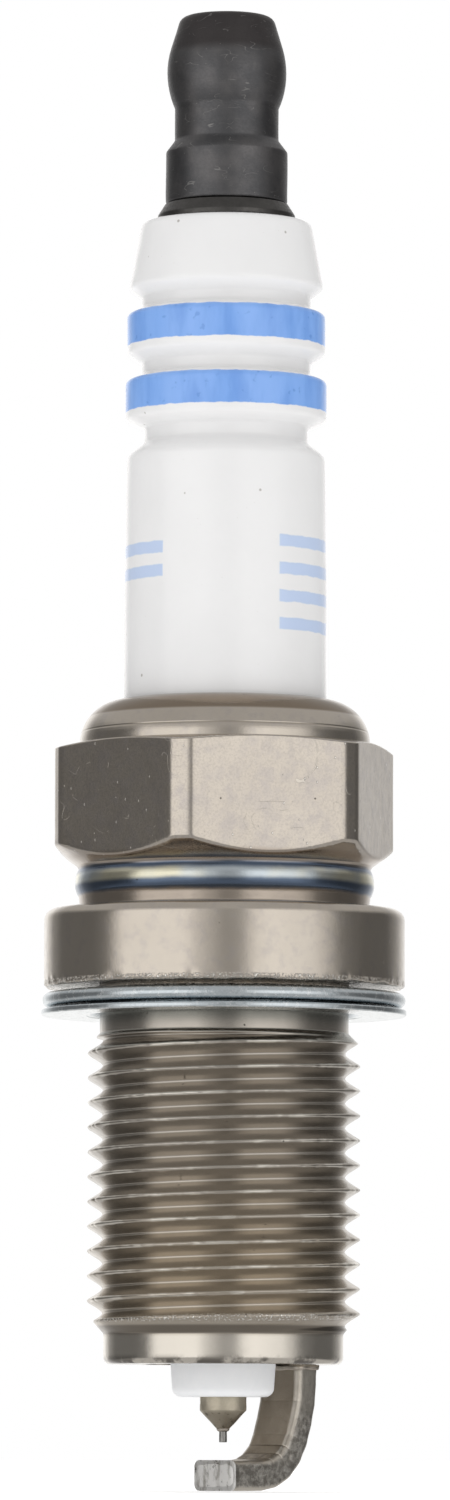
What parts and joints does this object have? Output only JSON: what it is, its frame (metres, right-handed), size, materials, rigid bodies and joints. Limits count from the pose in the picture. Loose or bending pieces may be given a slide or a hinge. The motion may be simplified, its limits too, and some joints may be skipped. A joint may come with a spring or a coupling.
{
  "type": "spark plug",
  "caption": "Resistor spark plug with a long threaded reach, captive folded gasket, fine wire centre tip, bent ground strap and a push-on terminal nut that comes off its stud.",
  "frame": {"origin": "on the plug's axis, in the plane of the gasket's lower face, where the plug seats on the cylinder head", "axes": "+Z along the axis towards the terminal; the ground electrode is welded on at 46.5 degrees from +X towards +Y"},
  "size_m": [0.0186, 0.0186, 0.075],
  "materials": {
    "black_oxide_steel": "black oxide, turned, satin",
    "stud_steel": "dark oiled steel",
    "glazed_alumina": "white glaze, gloss",
    "seal_glass": "opaque copper-filled glass",
    "resistor_carbon": "matt carbon composition",
    "electrode_nickel": "satin nickel alloy",
    "core_copper": "bare copper",
    "weld_metal": "as welded",
    "iridium": "drawn wire",
    "nickel_plated_steel": "bright nickel plate with a warm tint",
    "packing_steel": "bright steel wire",
    "packed_talc": "packed powder",
    "zinc_plated_steel": "bright zinc plate",
    "strap_nickel": "satin nickel alloy with drawing marks"
  },
  "bodies": {
    "plug_body": {"terminal_stud": "stud_steel", "insulator": "glazed_alumina", "upper_glass_seal": "seal_glass", "resistor": "resistor_carbon", "lower_glass_seal": "seal_glass", "centre_electrode": "electrode_nickel", "electrode_copper_core": "core_copper", "tip_weld": "weld_metal", "iridium_tip": "iridium", "shell": "nickel_plated_steel", "lower_packing_ring": "packing_steel", "upper_packing_ring": "packing_steel", "talc_filling": "packed_talc", "seat_washer": "packing_steel", "ground_electrode": "strap_nickel", "ground_electrode_weld": "weld_metal"},
    "terminal_nut": {"terminal_nut": "black_oxide_steel"},
    "gasket": {"gasket": "zinc_plated_steel"}
  },
  "joints": [
    {"name": "nut_unscrew", "type": "slide", "parent": "plug_body", "child": "terminal_nut", "axis": [0, 0, 1], "range_m": [0, 0.0075]},
    {"name": "gasket_spin", "type": "hinge", "parent": "plug_body", "child": "gasket", "pos_m": [0, 0, 0], "axis": [0, 0, 1], "continuous": true}
  ]
}
